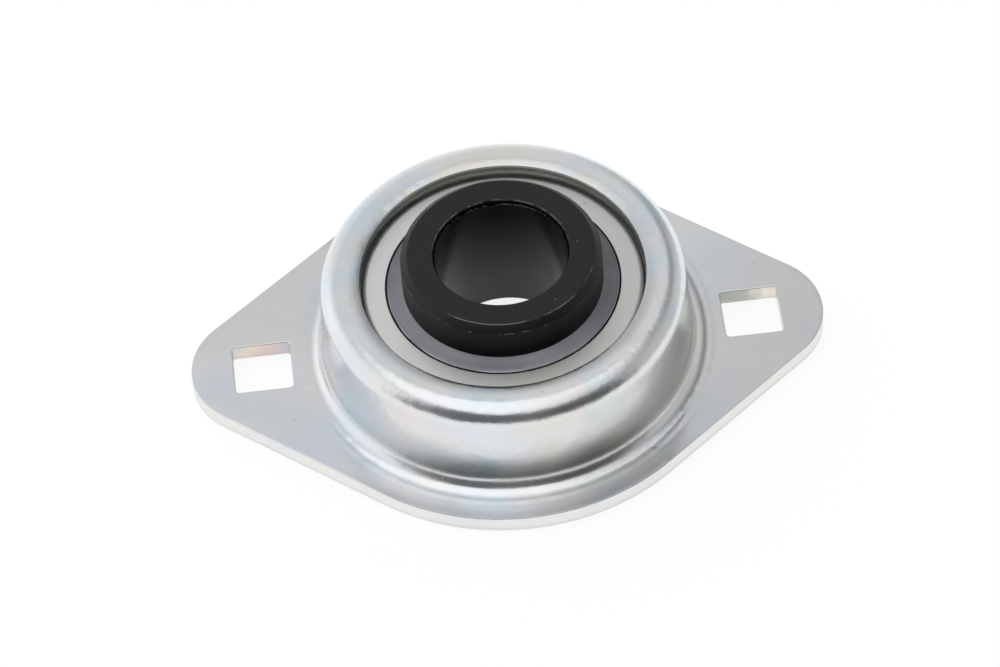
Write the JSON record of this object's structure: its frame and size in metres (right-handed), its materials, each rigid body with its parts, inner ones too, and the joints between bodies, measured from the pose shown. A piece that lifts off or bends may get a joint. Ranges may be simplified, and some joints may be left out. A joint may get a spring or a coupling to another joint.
{
  "type": "flanged ball bearing",
  "caption": "Pressed-sheet flange with square bolt holes and a drawn cup that holds a sealed ball bearing; its inner ring stands out as a collar and carries a jackshaft.",
  "frame": {"origin": "on the shaft axis, in the plane of the flange's mounting face", "axes": "+Z along the shaft axis towards the collar, X along the line of the bolt holes"},
  "size_m": [0.0922, 0.0656, 0.0224],
  "materials": {
    "zinc_plate": "bright zinc plating with a faint passivate tint",
    "shield_steel": "satin zinc plating",
    "black_oxide": "oiled black oxide, turned top face",
    "flinger_steel": "dark grey phosphate, semi-gloss",
    "bearing_steel": "ground steel",
    "ball_steel": "polished steel",
    "cage_steel": "pressed steel, bare",
    "seal_rubber": "moulded black rubber"
  },
  "bodies": {
    "housing": {"flange_housing": "zinc_plate", "outer_ring": "bearing_steel", "front_shield": "shield_steel", "rear_shield": "shield_steel", "front_seal": "seal_rubber", "rear_seal": "seal_rubber"},
    "inner_race": {"inner_ring": "black_oxide", "front_flinger": "flinger_steel", "rear_flinger": "flinger_steel"},
    "cage": {"cage_front": "cage_steel", "cage_rear": "cage_steel", "cage_rivets": "cage_steel"},
    "ball_1": {"ball_1": "ball_steel"},
    "ball_2": {"ball_2": "ball_steel"},
    "ball_3": {"ball_3": "ball_steel"},
    "ball_4": {"ball_4": "ball_steel"},
    "ball_5": {"ball_5": "ball_steel"},
    "ball_6": {"ball_6": "ball_steel"},
    "ball_7": {"ball_7": "ball_steel"},
    "ball_8": {"ball_8": "ball_steel"}
  },
  "joints": [
    {"name": "inner_spin", "type": "hinge", "parent": "housing", "child": "inner_race", "pos_m": [0, 0, 0.00895], "axis": [0, 0, 1], "continuous": true},
    {"name": "cage_spin", "type": "hinge", "parent": "housing", "child": "cage", "pos_m": [0, 0, 0.00895], "axis": [0, 0, 1], "continuous": true},
    {"name": "ball_1_spin", "type": "hinge", "parent": "cage", "child": "ball_1", "pos_m": [0.01676, 0, 0.00895], "axis": [0, 0, 1], "continuous": true},
    {"name": "ball_2_spin", "type": "hinge", "parent": "cage", "child": "ball_2", "pos_m": [0.01185, 0.01185, 0.00895], "axis": [0, 0, 1], "continuous": true},
    {"name": "ball_3_spin", "type": "hinge", "parent": "cage", "child": "ball_3", "pos_m": [0, 0.01676, 0.00895], "axis": [0, 0, 1], "continuous": true},
    {"name": "ball_4_spin", "type": "hinge", "parent": "cage", "child": "ball_4", "pos_m": [-0.01185, 0.01185, 0.00895], "axis": [0, 0, 1], "continuous": true},
    {"name": "ball_5_spin", "type": "hinge", "parent": "cage", "child": "ball_5", "pos_m": [-0.01676, 0, 0.00895], "axis": [0, 0, 1], "continuous": true},
    {"name": "ball_6_spin", "type": "hinge", "parent": "cage", "child": "ball_6", "pos_m": [-0.01185, -0.01185, 0.00895], "axis": [0, 0, 1], "continuous": true},
    {"name": "ball_7_spin", "type": "hinge", "parent": "cage", "child": "ball_7", "pos_m": [0, -0.01676, 0.00895], "axis": [0, 0, 1], "continuous": true},
    {"name": "ball_8_spin", "type": "hinge", "parent": "cage", "child": "ball_8", "pos_m": [0.01185, -0.01185, 0.00895], "axis": [0, 0, 1], "continuous": true}
  ],
  "couplings": [
    {"joint": "cage_spin", "follows": "inner_spin", "ratio": 0.38161},
    {"joint": "ball_1_spin", "follows": "inner_spin", "ratio": -1.9933},
    {"joint": "ball_2_spin", "follows": "inner_spin", "ratio": -1.9933},
    {"joint": "ball_3_spin", "follows": "inner_spin", "ratio": -1.9933},
    {"joint": "ball_4_spin", "follows": "inner_spin", "ratio": -1.9933},
    {"joint": "ball_5_spin", "follows": "inner_spin", "ratio": -1.9933},
    {"joint": "ball_6_spin", "follows": "inner_spin", "ratio": -1.9933},
    {"joint": "ball_7_spin", "follows": "inner_spin", "ratio": -1.9933},
    {"joint": "ball_8_spin", "follows": "inner_spin", "ratio": -1.9933}
  ]
}
